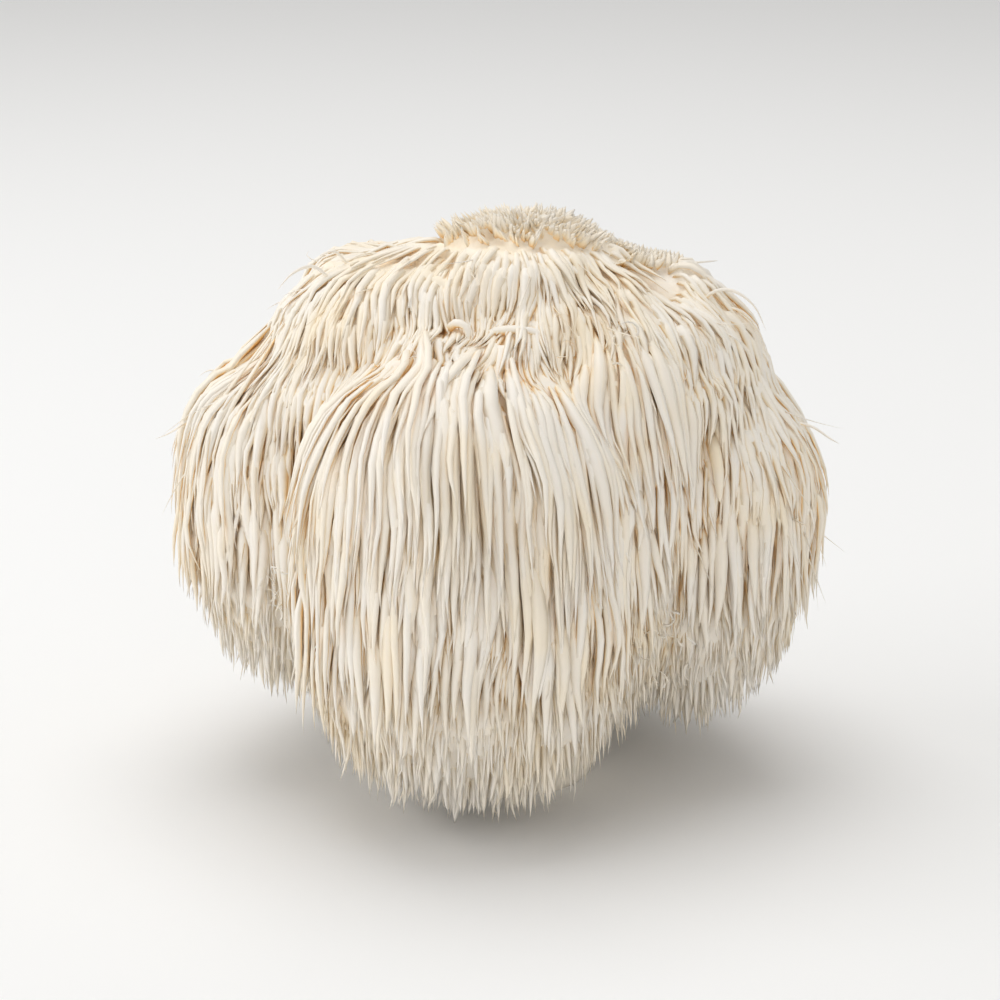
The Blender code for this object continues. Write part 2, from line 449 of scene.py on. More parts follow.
@dataclass(frozen=True)
class Curl:
    """An odd spine with a place of its own: the points it passes and its radius, in mm."""

    points: tuple[tuple[float, float, float], ...]
    radius: float
    tint: float = 0.2

    def path(self, steps: int) -> np.ndarray:
        """Points along it, a smooth line through its own, in metres."""
        ends = np.array(self.points, float)
        ends = np.concatenate([2 * ends[:1] - ends[1:2], ends, 2 * ends[-1:] - ends[-2:-1]])
        at = np.linspace(0, len(self.points) - 1, steps + 1)
        before = np.minimum(at.astype(int), len(self.points) - 2)
        share = (at - before)[:, None]
        a, b, c, d = (ends[before + offset] for offset in range(4))
        curve = 2 * b + (c - a) * share + (2 * a - 5 * b + 4 * c - d) * share**2
        return MM * 0.5 * (curve + (3 * b - a - 3 * c + d) * share**3)


CURLS = (
    Curl(
        ((-5, -24, 118), (-2, -26, 121.5), (4, -27.5, 122.6), (10, -28.5, 121.5),
         (12.5, -31, 117.5), (13, -36, 111.5), (13, -42, 104)),
        1.3,
    ),
    Curl(
        ((-9, -20, 115), (-12, -23, 120), (-11, -25, 123.5), (-8, -26.5, 123),
         (-7.5, -28.5, 119), (-8.5, -33, 114), (-9.5, -39, 107)),
        1.3,
    ),
    Curl(
        ((-12, -20, 114), (-16, -24, 119), (-20, -28, 118.5), (-23, -33, 114),
         (-25, -39, 107), (-26, -44, 99)),
        1.35,
    ),
    Curl(
        ((49, -14, 96), (51, -20, 94), (52.5, -24.5, 88), (53, -25.5, 82), (53.2, -25.5, 79)),
        1.9,
        1.5,
    ),
    Curl(((-40, -4, 128), (-45, -6, 133), (-50, -8, 132), (-54, -10, 128)), 0.5),
    Curl(((-36, -2, 131), (-40, -3, 136), (-44, -5, 135.5)), 0.45),
    Curl(((47, -2, 121), (52, -3, 126), (57, -4, 126.5), (62, -5, 123), (65, -6, 117)), 0.5),
    Curl(((50, 2, 118), (55, 1, 121), (60, 0, 120), (64, -1, 115), (66, -2, 108)), 0.45),
    Curl(((-70, 4, 96), (-76, 3, 93), (-82, 2, 89), (-86, 1, 87.5)), 0.4),
    Curl(((70, 2, 92), (77, 1, 91), (82, 0, 88), (84.5, 0, 86.5)), 0.4),
)
TENDRILS = (
    Patch((-0.022, -0.027, 0.117), 0.008),
    Patch((0.014, -0.028, 0.117), 0.006),
    Patch((-0.053, -0.030, 0.058), 0.008),
    Patch((0.037, -0.036, 0.050), 0.014),
    Patch((0.030, -0.026, 0.118), 0.008),
)


def knobs(
    lobes: dict[str, Lobe],
    chance: np.random.Generator,
    tries: int = 90,
    sizes: tuple[float, float] = (5 * MM, 8 * MM),
    gap: float = 13 * MM,
    widest: float = 46 * MM,
) -> dict[str, Lobe]:
    """Small swellings scattered over the upper lobes, which give them their tiers.

    Args:
        lobes: The lobes that they grow on.
        chance: Where their places and sizes come from.
        tries: How many places are tried on each lobe.
        sizes: The least and the greatest size.
        gap: The least distance between two.
        widest: How far to the left or right they may sit.

    Returns:
        The knobs by name.
    """
    places = []
    made = {}
    for name in ("crown", "upper_left", "upper_right", "upper_back"):
        lobe = lobes[name]
        for _ in range(tries):
            aim = chance.normal(size=3)
            aim = aim / np.linalg.norm(aim)
            size = chance.uniform(*sizes)
            place = lobe.centre + aim / reach_of(aim, lobe.box) * lobe.radii * 0.95
            crowded = any(np.linalg.norm(place - near) < gap for near in places)
            if aim[2] < -0.15 or crowded or abs(place[0]) > widest:
                continue
            places.append(place)
            radii = (size * 0.9, size * 1.5, size * 0.75)
            yaw = math.atan2(aim[1], aim[0])
            made[f"knob_{len(made)}"] = Lobe(tuple(place), radii, RIM, yaw=yaw)
    return made


@dataclass
class Flesh:
    """The lobes as one smooth body, and how spines leave it and drape over it."""

    lobes: dict[str, Lobe]
    blend: float = 2.5 * MM  # how softly the lobes grow together
    skirt_margin: float = 3.5 * MM  # how far outside its lobe a skirt hangs
    skirt_drop: float = 6 * MM  # and how far below its middle the outermost tips are
    steps: int = 24
    push: float = 0.2  # how strongly the flesh that a spine touches turns it outwards
    axis: tuple[float, float, float] = (0.003, 0.014, 0.0)  # spines lean away from it
    root_depth: float = 3.4 * MM  # how deep in the flesh they start
    lift: tuple[float, float] = (0.1 * MM, 0.9 * MM)  # how high over it they lie at first
    perk: float = 0.35  # how much less they droop on a crest
    sway: tuple[float, float, float] = (0.3, 0.3, 0.1)  # how far neighbours stray together

    def __post_init__(self) -> None:
        """Keeps the lobes' sizes as arrays."""
        self.centres, self.radii = self.values("centre"), self.values("radii")
        self.cos, self.sin = np.cos(self.values("yaw")), np.sin(self.values("yaw"))
        self.skirted, self.boxes = self.values("skirted"), self.values("box")

    def values(self, name: str) -> np.ndarray:
        """One value of every lobe."""
        return np.array([getattr(lobe, name) for lobe in self.lobes.values()])

    def turned(self, vectors: np.ndarray, way: int) -> np.ndarray:
        """Vectors, one for each lobe, turned into the lobes' axes (1) or back (-1)."""
        x, y, z = vectors[..., 0], vectors[..., 1], vectors[..., 2]
        sin = self.sin * way
        return np.stack([x * self.cos + y * sin, y * self.cos - x * sin, z], axis=-1)

    def distance(self, points: np.ndarray) -> tuple[np.ndarray, np.ndarray]:
        """How far points lie outside the flesh.

        Args:
            points: Places, one a row.

        Returns:
            The distances, negative inside, and the directions straight away from it.
        """
        scaled = self.turned(points[:, None] - self.centres, 1) / self.radii
        share = reach_of(scaled, self.boxes) + 1e-6
        across = np.linalg.norm(scaled[..., :2], axis=-1)
        across = (across / share) ** (self.boxes - 2) / share
        upright = (np.abs(scaled[..., 2]) / share) ** (self.boxes - 2) / share
        slope = scaled * np.stack([across, across, upright], axis=-1) / self.radii
        gradient = np.linalg.norm(slope, axis=2) + 1e-9
        distance = (share - 1) / gradient
        weight = np.exp((distance.min(axis=1, keepdims=True) - distance) / self.blend)
        blended = distance.min(axis=1) - self.blend * np.log(weight.sum(axis=1))
        slope = self.turned(slope / gradient[..., None], -1)
        return blended, unit((weight[..., None] * slope).sum(axis=1))

    def placed(self, owner: int, aims: np.ndarray, radii: np.ndarray) -> np.ndarray:
        """Where directions from a lobe's centre meet it, if it has the given radii."""
        around = aims / reach_of(aims, self.boxes[owner])[:, None] * radii
        cos, sin = self.cos[owner], self.sin[owner]
        turn = np.array([(cos, sin, 0), (-sin, cos, 0), (0, 0, 1)])
        return self.centres[owner] + around @ turn

    def settled(self, points: np.ndarray) -> tuple[np.ndarray, np.ndarray]:
        """Points moved onto the flesh, and the directions straight away from it there."""
        for _ in range(3):
            distance, away = self.distance(points)
            points = points - away * np.clip(distance, -self.blend, self.blend)[:, None]
        return points, self.distance(points)[1]

    def grown(self, name: str, owners: np.ndarray) -> np.ndarray:
        """One value of the growth of each spine's lobe."""
        values = [getattr(coating.value, name) for coating in self.values("coating")]
        return np.array(values)[owners]

    def crest(self, away: np.ndarray, owners: np.ndarray) -> np.ndarray:
        """How far each root is on top of its lobe, or on a knob, where spines stand out."""
        on_top = ease(away[:, 2], 0.78, 0.93)
        return np.where(self.skirted[owners], on_top, 1.0)

    def trim(self, paths: np.ndarray, owners: np.ndarray) -> np.ndarray:
        """Ends spines where they would leave their lobe's skirt, and shortens them to that.

        Args:
            paths: The points along the spines.
            owners: The lobe that each grows on.

        Returns:
            The points along the shortened spines.
        """
        steps = np.arange(paths.shape[1])
        shares = np.ones(len(paths))
        for owner, lobe in enumerate(self.lobes.values()):
            mine = owners == owner
            if lobe.skirted and mine.any():
                own = paths[mine]
                reach = np.array(lobe.radii[:2]) + self.skirt_margin
                out = np.linalg.norm((own[..., :2] - lobe.centre[:2]) / reach, axis=2)
                inner = lobe.centre + (own - lobe.centre) * 0.9
                past = (out > 1.15) | (own[..., 2] < self.skirt(owner, inner) - 1 * MM)
                first = past.argmax(axis=1) / steps[-1]
                shares[mine] = np.where(past.any(axis=1), first, 1)
        return at_steps(paths, shares[:, None] * steps)

    def roots(self, chance: np.random.Generator) -> tuple:
        """Points spread over the outside of the flesh.

        Args:
            chance: Where the scatter comes from.

        Returns:
            The points, and the number of the lobe that each grows on.
        """
        found, owners = [], []
        for owner, radii in enumerate(self.radii):
            spacing = self.grown("spacing", owner) * 0.6
            count = int(4 * math.pi * (radii.mean() / spacing) ** 2)
            steps = np.arange(count) + 0.5
            turn = steps * GOLDEN_TURN
            height = 1 - 2 * steps / count
            ring = np.sqrt(1 - height**2)
            even = np.stack([np.cos(turn) * ring, np.sin(turn) * ring, height], axis=1)
            even = unit(even + chance.normal(0, 0.35 * spacing / radii.mean(), (count, 3)))
            points = self.settled(self.placed(owner, even, radii))[0]
            on_outside = np.abs(self.distance(points)[0]) < 0.6 * MM
            found.append(points[on_outside])
            owners.append(np.full(on_outside.sum(), owner))
        points, owners = np.concatenate(found), np.concatenate(owners)
        facing = self.distance(points)[1][:, 2]
        crested = self.skirted[owners]
        crowding = np.where(crested, 1.1 - 0.4 * ease(facing, 0.3, 0.8), 0.75)
        mixed = chance.permutation(len(points))
        kept = mixed[thin_out(points[mixed], (crowding * self.grown("spacing", owners))[mixed])]
        return points[kept], owners[kept]

    def drape(
        self,
        roots: np.ndarray,
        owners: np.ndarray,
        lengths: np.ndarray,
        chance: np.random.Generator,
    ) -> np.ndarray:
        """The path of each spine: out of the flesh, over it and down.

        Args:
            roots: Where the spines grow.
            owners: The lobe that each grows on.
            lengths: How long each is.
            chance: Where their strayings come from.

        Returns:
            Points along every spine, one step apart, as an array of three axes.
        """
        step = (lengths / self.steps)[:, None]
        away = self.distance(roots)[1]
        crest = self.crest(away, owners)[:, None]
        lift = chance.uniform(*self.lift, len(roots))
        proud = crest[:, 0] * self.skirted[owners]
        lift = lift + proud * chance.uniform(0, 1.2, len(roots)) ** 2 * MM
        droop = self.grown("droop", owners)[:, None] - self.perk * crest
        stray = self.grown("stray", owners)[:, None] * chance.normal(size=roots.shape)
        stray = stray + waver(roots, 16 * MM, 3) * self.sway
        ridges = self.values("ridge")[owners]
        shift = np.where(self.skirted, 0.5, 1.0)[:, None]
        partings = self.centres + (self.axis - self.centres) * shift
        aside = (roots - partings[owners]) * LEVEL
        aside[:, 0] -= np.clip(aside[:, 0], -ridges, ridges)
        aside = unit(aside + (0, -1 * MM, 0))
        stray = stray + aside * self.grown("sweep", owners)[:, None]
        pull = self.grown("pull", owners)[:, None]
        rise = self.grown("rise", owners)
        heading = unit(away + droop * DOWN + stray)
        path = [roots - away * self.root_depth]
        for done in range(self.steps):
            distance, away = self.distance(path[-1] + heading * step / 2)
            wanted = lift + rise * step[:, 0] * done
            contact = np.clip((wanted - distance) / self.blend, 0, 1)[:, None]
            heading = unit(heading + pull * DOWN)
            inward = np.minimum((heading * away).sum(axis=1, keepdims=True), 0)
            heading = unit(heading + away * contact * (self.push - inward))
            path.append(path[-1] + heading * step)
        return np.stack(path, axis=1)

    def skirt(self, owner: int, places: np.ndarray) -> np.ndarray:
        """How low the tips of a lobe hang.

        Args:
            owner: The lobe's number.
            places: Points whose x and y are read.

        Returns:
            The height of the tips at each place.
        """
        lobe = list(self.lobes.values())[owner]
        reach = np.array(lobe.radii[:2]) + self.skirt_margin
        out = np.linalg.norm((places[..., :2] - lobe.centre[:2]) / reach, axis=-1)
        middle = lobe.centre[2] - self.skirt_drop
        rounded = (1 - np.clip(out, 0, 1) ** lobe.power) ** (1 / lobe.power)
        return middle - (middle - lobe.low) * rounded

    def buried(self, points: np.ndarray, owner: int) -> np.ndarray:
        """Whether each point of one lobe lies inside the mass of another.

        Args:
            points: Places, one a row.
            owner: The lobe that they belong to.

        Returns:
            True for the points that another lobe hides.
        """
        hidden = np.zeros(len(points), bool)
        for other, lobe in enumerate(self.lobes.values()):
            if other == owner:
                continue
            scaled = (points - self.centres[other]) / self.radii[other]
            hidden |= reach_of(scaled, lobe.box) < 0.93
            if lobe.skirted:
                beside = np.linalg.norm(scaled[:, :2], axis=1) < 1.02
                above = points[:, 2] > self.skirt(other, points) + 5 * MM
                below = points[:, 2] < self.centres[other][2]
                hidden |= beside & above & below
        return hidden


def waver(points: np.ndarray, wavelength: float, seed: int) -> np.ndarray:
    """A smooth random push that neighbouring points share.

    Args:
        points: Places, in an array whose last axis is x, y, z.
        wavelength: The usual distance from one push to the opposite one.
        seed: Which of the many such fields this is.

    Returns:
        A push at each point, of about length 1.
    """
    chance = np.random.default_rng(seed)
    total = np.zeros(points.shape)
    for _ in range(7):
        wave = unit(chance.normal(size=3)) * 2 * math.pi / wavelength
        wave = wave * chance.uniform(0.5, 1.6)
        phase = chance.uniform(0, 2 * math.pi)
        push = unit(chance.normal(size=3))
        total += np.sin(points @ wave + phase)[..., None] * push
    return total / 1.9


def thin_out(points: np.ndarray, gaps: np.ndarray) -> np.ndarray:
    """Drops points that crowd earlier ones.

    Args:
        points: Places, one a row.
        gaps: The least distance from each that is kept to its neighbours.

    Returns:
        The numbers of the points to keep.
    """
    cells: dict[tuple, list[int]] = {}
    kept = []
    around = [(x, y, z) for x in (-1, 0, 1) for y in (-1, 0, 1) for z in (-1, 0, 1)]
    keys = np.floor(points / gaps.max()).astype(int)
    for number, (x, y, z) in enumerate(keys.tolist()):
        near = (cells.get((x + dx, y + dy, z + dz), ()) for dx, dy, dz in around)
        crowd = [other for cell in near for other in cell]
        if crowd:
            squares = ((points[crowd] - points[number]) ** 2).sum(axis=1)
            if squares.min() < gaps[number] ** 2:
                continue
        cells.setdefault((x, y, z), []).append(number)
        kept.append(number)
    return np.array(kept)


@dataclass
class FusedFlesh:
    """Flesh as one closed skin, fused from lobes, a foot and the roots of spines."""

    flesh: Flesh
    voxel: float
    inset: float  # how far inside the lobes' own size the skin lies
    floor: float = 0.0  # where the lobes are cut off below
    smoothing: int = 6
    thrift: float = 0.0  # how far faces may be merged where the skin is even
    teeth: float = 9 * MM  # how far the tips of a skirt hang clear below it
    foot_centre: tuple[float, float] = (0.0, 0.004)
    foot_radius: float = 24 * MM
    foot_top: float = 60 * MM
    foot_flare: float = 1.25
    fullness: float = 0.0  # how much further out lobes with skirts stand
    bumpy: tuple[float, float] = (86 * MM, 96 * MM)  # unevenness sets in between these
    bumps: tuple = ((9 * MM, 0.45 * MM), (4 * MM, 0.3 * MM))  # each wavelength and its size
    sunk: float = 0.2 * MM  # how much each set of bumps also lowers the skin
    warm: tuple[float, float] = (126 * MM, 136 * MM)  # where the top turns creamier

    def lobes(self) -> bpy.types.Mesh:
        """All lobes, let down to their skirts if they have one, and cut at the floor."""
        shape = bmesh.new()
        bmesh.ops.create_uvsphere(shape, u_segments=40, v_segments=28, radius=1)
        ball = np.array([vert.co for vert in shape.verts])
        faces = [[vert.index for vert in face.verts] for face in shape.faces]
        shape.free()
        verts = []
        for owner, lobe in enumerate(self.flesh.lobes.values()):
            inset = self.inset - self.fullness * lobe.skirted
            points = self.flesh.placed(owner, ball, self.flesh.radii[owner] - inset)
            if lobe.skirted:
                below = points[:, 2] < lobe.centre[2] - self.flesh.skirt_drop
                tips = self.flesh.skirt(owner, points) + self.teeth
                points[:, 2] = np.where(below, np.minimum(points[:, 2], tips), points[:, 2])
            points[:, 2] = np.maximum(points[:, 2], self.floor)
            verts.append(points)
        return joined_mesh("lobes", np.concatenate(verts), faces, len(verts))

    def foot(self, shape: bmesh.types.BMesh) -> None:
        """Adds the stub that the head was cut from."""
        bmesh.ops.create_cone(
            shape,
            cap_ends=True,
            segments=64,
            radius1=self.foot_radius,
            radius2=self.foot_radius * self.foot_flare,
            depth=self.foot_top,
            matrix=Matrix.Translation((*self.foot_centre, self.foot_top / 2)),
        )

    def build(self, name: str, roots: list, thicket: Thicket) -> bpy.types.Object:
        """Fuses the pieces of flesh into one closed skin.

        Args:
            name: What the piece is called.
            roots: Meshes of the roots that grow together with the flesh.
            thicket: Where the spines are, for how deep each point lies.

        Returns:
            The flesh as one object.
        """
        shape = bmesh.new()
        for mesh in (self.lobes(), *roots):
            shape.from_mesh(mesh)
        if self.floor == 0:
            self.foot(shape)
        mesh = bpy.data.meshes.new("parts")
        shape.to_mesh(mesh)
        shape.free()
        parts = add_object("parts", mesh)
        remesh = parts.modifiers.new("Fuse", "REMESH")
        remesh.mode = "VOXEL"
        remesh.voxel_size = self.voxel
        remesh.adaptivity = self.thrift
        smooth = parts.modifiers.new("Soften", "SMOOTH")
        smooth.factor = 0.5
        smooth.iterations = self.smoothing
        graph = bpy.context.evaluated_depsgraph_get()
        fused = bpy.data.meshes.new_from_object(parts.evaluated_get(graph))
        fused.name = name
        bpy.data.objects.remove(parts)
        self.mark(fused, thicket)
        return add_object(name, fused)

    def mark(self, mesh: bpy.types.Mesh, thicket: Thicket) -> None:
        """Makes the upper skin uneven, levels the cut and writes what the finish reads.

        Args:
            mesh: The fused skin.
            thicket: Where the spines are, for how deep each point lies.
        """
        normals = read(mesh.vertex_normals, "vector")
        places = read(mesh.vertices, "co")
        upper = ease(places[:, 2], *self.bumpy)
        for wavelength, size in self.bumps:
            height = (waver(places, wavelength, 8)[:, 0] * size - self.sunk) * upper
            places = places + normals * height[:, None]
        places[places[:, 2] < 0.8 * self.voxel, 2] = 0
        mesh.vertices.foreach_set("co", places.ravel())
        away = np.linalg.norm(places - BARE.centre, axis=1) / BARE.radius
        write(
            mesh,
            tint=0.4 + 0.6 * ease(places[:, 2], *self.warm),
            # painted shade where spines crowd round the skin, weaker round the bare patch
            depth=thicket.cover(places, normals) * (0.4 + 0.6 * ease(away, 0.8, 1.4)),
            grain=places / (1.5 * MM),
        )


# --------------------------------------------------------------------------------- spines


@dataclass
class Strands:
    """Many spines as arrays: each has a path, a radius, a way out, a tint and a neck."""

    paths: np.ndarray
    radii: np.ndarray
    outward: np.ndarray
    tints: np.ndarray
    necks: np.ndarray

    def part(self, chosen: np.ndarray) -> Strands:
        """Only the chosen spines."""
        arrays = (self.paths, self.radii, self.outward, self.tints, self.necks)
        return Strands(*(array[chosen] for array in arrays))


@dataclass
class Thicket:
    """How full of flesh and spines space is, as a grid of cells, to tell deep from open for the
    painted shade.
    """

    cell: float = 1.2 * MM
    low: tuple = (-0.10, -0.09, -0.01)  # the grid's lowest corner
    size: tuple = (168, 152, 138)  # and its cells each way
    reaches: tuple = (1.3, 2.2, 3.4, 5.0, 7.5)  # how far off cells are looked at, in mm
    dimming: float = 0.35
    tilts: tuple = ((0, 0), (1.1, 0), (-1.1, 0), (0, 1.1), (0, -1.1))  # ways of looking

    def __post_init__(self) -> None:
        """Starts with nothing in it."""
        self.grid = np.zeros(self.size, np.float32)

    def cells(self, points: np.ndarray) -> np.ndarray:
        """The number of the cell of each point."""
        index = ((points - np.array(self.low)) / self.cell).astype(int)
        index = np.clip(index, 0, np.array(self.size) - 1)
        return (index[..., 0] * self.size[1] + index[..., 1]) * self.size[2] + index[..., 2]

    def add(self, strands: Strands) -> None:
        """Counts the spines in, by the room that they take."""
        steps = np.diff(strands.paths, axis=1)
        share = np.linspace(0, 1, steps.shape[1])
        thickness = strands.radii[:, None] * (1 - share**2)
        room = math.pi * thickness**2 * np.linalg.norm(steps, axis=2) / self.cell**3
        cells = self.cells(strands.paths[:, 1:]).ravel()
        added = np.bincount(cells, weights=room.ravel(), minlength=self.grid.size)
        self.grid += added.reshape(self.size).astype(np.float32)

    def add_flesh(self, flesh: Flesh) -> None:
        """Fills the cells inside the lobes."""
        axes = [np.arange(size) * self.cell + low for size, low in zip(self.size, self.low)]
        for owner, centre in enumerate(flesh.centres):
            reach = flesh.radii[owner].max()
            near = [np.flatnonzero(np.abs(a - c) < reach) for a, c in zip(axes, centre)]
            offsets = (a[n] - c for a, n, c in zip(axes, near, centre))
            around = np.meshgrid(*offsets, indexing="ij")
            cos, sin = flesh.cos[owner], flesh.sin[owner]
            x = around[0] * cos + around[1] * sin
            y = around[1] * cos - around[0] * sin
            scaled = np.stack([x, y, around[2]], axis=-1) / flesh.radii[owner]
            inside = reach_of(scaled, flesh.boxes[owner]) < 1
            self.grid[np.ix_(*near)] = np.maximum(self.grid[np.ix_(*near)], inside)

    def settle(self) -> None:
        """Evens the grid out a little, once all is in it."""
        grid = np.minimum(self.grid, 1.2)
        for axis in range(3):
            grid = 0.5 * grid + 0.25 * (np.roll(grid, 1, axis) + np.roll(grid, -1, axis))
        self.grid = grid

    def cover(self, points: np.ndarray, normals: np.ndarray) -> np.ndarray:
        """How much stands round each point.

        Args:
            points: Places on the surface, one a row.
            normals: The way out of the surface at each.

        Returns:
            0 where a point is open to the air, towards 1 where it is deep inside.
        """
        filled = self.grid.ravel()
        normals = unit(normals)
        side = unit(np.cross(normals, (0.3, 0.9, 0.1)))
        other = np.cross(normals, side)
        openness = np.zeros(len(points))
        for first, second in self.tilts:
            way = unit(normals + first * side + second * other)
            met = np.zeros(len(points))
            before = 0.6
            for reach in self.reaches:
                met += filled[self.cells(points + way * reach * MM)] * (reach - before)
                before = reach
            openness += np.exp(-self.dimming * met) / len(self.tilts)
        return 1 - openness


@dataclass
class SpineForm:
    """The shape of one spine, a jointed cone, and the joined mesh of many."""

    sides: int = 5
    rings: int = 9
    flatness: float = 0.62  # its thickness as a share of its width
    taper: float = 2.2  # the higher, the later it narrows to its tip
    full: float = 0.35  # how far along it has widened from its neck
    part: float = 1.0  # how much of the path it follows
    girth: float = 1.0
    streak: float = 9 * MM

    def template(self) -> tuple:
        """The cone that every spine starts as.

        Returns:
            The ring and the angle of each vertex, and the faces as lists of vertices.
        """
        shape = bmesh.new()
        bmesh.ops.create_cone(
            shape,
            cap_ends=True,
            segments=self.sides,
            radius1=1,
            radius2=0,
            depth=1,
            matrix=Matrix.Translation((0, 0, 0.5)),
        )
        for ring in range(1, self.rings):
            whole = shape.verts[:] + shape.edges[:] + shape.faces[:]
            level = (0, 0, ring / self.rings)
            bmesh.ops.bisect_plane(shape, geom=whole, plane_co=level, plane_no=(0, 0, 1))
        shape.verts.index_update()
        rings = np.array([round(vert.co.z * self.rings) for vert in shape.verts])
        angles = np.array([math.atan2(vert.co.y, vert.co.x) for vert in shape.verts])
        faces = [[vert.index for vert in face.verts] for face in shape.faces]
        shape.free()
        return rings, angles, faces

    def shares(self) -> np.ndarray:
        """Where the rings sit along a spine, closer together towards the tip."""
        even = np.arange(self.rings + 1) / self.rings
        return 1 - (1 - even) ** 1.15

    def profile(self, necks: np.ndarray) -> np.ndarray:
        """The radius of each spine at each ring as a share of its widest."""
        shares = self.shares()
        neck = necks[:, None] + (1 - necks[:, None]) * ease(shares, 0, self.full)
        return self.girth * neck * np.clip(1 - shares**self.taper, 0, 1)

    def mesh(self, name: str, strands: Strands) -> tuple:
        """Joins many spines in one mesh.

        Args:
            name: What the mesh is called.
            strands: The spines.

        Returns:
            The mesh, its vertices and their normals, the ring and the angle of each vertex
            of one spine, and the lengths of the spines.
        """
        rings, angles, faces = self.template()
        last = strands.paths.shape[1] - 1
        paths = at_steps(strands.paths, self.shares() * last * self.part)
        count, levels = paths.shape[:2]
        along = unit(np.gradient(paths, axis=1))
        side = unit(np.cross(strands.outward, along[:, 0]) + 1e-6)
        sides = []
        for level in range(levels):
            tangent = along[:, level]
            side = unit(side - tangent * (side * tangent).sum(axis=1, keepdims=True))
            sides.append(side)
        sides = np.stack(sides, axis=1)
        fronts = np.cross(along, sides)
        radii = (strands.radii[:, None] * self.profile(strands.necks))[:, rings, None]
        across = np.cos(angles)[None, :, None] * sides[:, rings]
        through = np.sin(angles)[None, :, None] * fronts[:, rings] * self.flatness
        verts = (paths[:, rings] + radii * (across + through)).reshape(-1, 3)
        lengths = np.linalg.norm(np.diff(paths, axis=1), axis=2).sum(axis=1)
        normals = (across + through / self.flatness**2).reshape(-1, 3)
        mesh = joined_mesh(name, verts, faces, count)
        return mesh, verts, normals, rings, angles, lengths

    def build(self, name: str, strands: Strands, thicket: Thicket) -> bpy.types.Object:
        """Joins many spines in one object, with the attributes that the finish reads.

        Args:
            name: What the piece is called.
            strands: The spines.
            thicket: Where all spines are, for how deep each point lies.

        Returns:
            The object.
        """
        mesh, verts, normals, rings, angles, lengths = self.mesh(name, strands)
        shares = self.shares()[rings]
        grain = np.empty((len(strands.tints), len(rings), 3))
        # Odd multiples of its tint give each spine streaks of its own.
        grain[..., 0] = np.cos(angles) * 1.3 + (strands.tints * 971)[:, None]
        grain[..., 1] = np.sin(angles) * 1.3 + (strands.tints * 3571 % 97)[:, None]
        grain[..., 2] = shares * (lengths / self.streak)[:, None]
        # Painted shade: the root half of a spine that leaves the face of its lobe counts as
        # deeper, as if under the layer above it.
        hidden = (1 - ease(shares, 0.05, 0.5)) * (1 - strands.necks)[:, None]
        write(
            mesh,
            tint=np.repeat(strands.tints, len(rings)),
            depth=thicket.cover(verts, normals) + 0.3 * hidden.ravel(),
            grain=grain.reshape(-1, 3),
        )
        return add_object(name, mesh)


def joined_mesh(name: str, verts: np.ndarray, faces: list, count: int) -> bpy.types.Mesh:
    """Many copies of one small mesh, with their own vertices, as one.

    Args:
        name: The mesh's name.
        verts: The vertices of every copy, copy after copy.
        faces: The faces of one copy.
        count: How many copies there are.

    Returns:
        The joined mesh.
    """
    each = len(verts) // count
    corners = np.concatenate(faces)
    sizes = np.array([len(face) for face in faces])
    copies = np.arange(count)[:, None]
    all_corners = (corners[None] + copies * each).ravel()
    starts = np.concatenate([[0], np.cumsum(sizes)[:-1]])
    all_starts = (starts[None] + copies * len(corners)).ravel()
    mesh = bpy.data.meshes.new(name)
    mesh.vertices.add(len(verts))
    mesh.vertices.foreach_set("co", np.ascontiguousarray(verts, np.float32).ravel())
    mesh.loops.add(len(all_corners))
    mesh.loops.foreach_set("vertex_index", all_corners.astype(np.int32))
    mesh.polygons.add(len(all_starts))
    mesh.polygons.foreach_set("loop_start", all_starts.astype(np.int32))
    mesh.update(calc_edges=True)
    return mesh


@dataclass(frozen=True)
class Ruffles:
    """How the flakes of the top stand in bent rows, in metres."""

    gap: float = 2.9 * MM  # between the middles of rows
    pitch: float = 1.05 * MM  # between the flakes of a row
    reach: int = 3  # flakes on either side of a row's middle
    bend: float = 0.8 * MM
    tall: tuple[float, float] = (1.8 * MM, 4.8 * MM)
    depth: float = 3 * MM  # how deep in the flesh they start
    radii: tuple[float, float] = (0.9 * MM, 1.7 * MM)


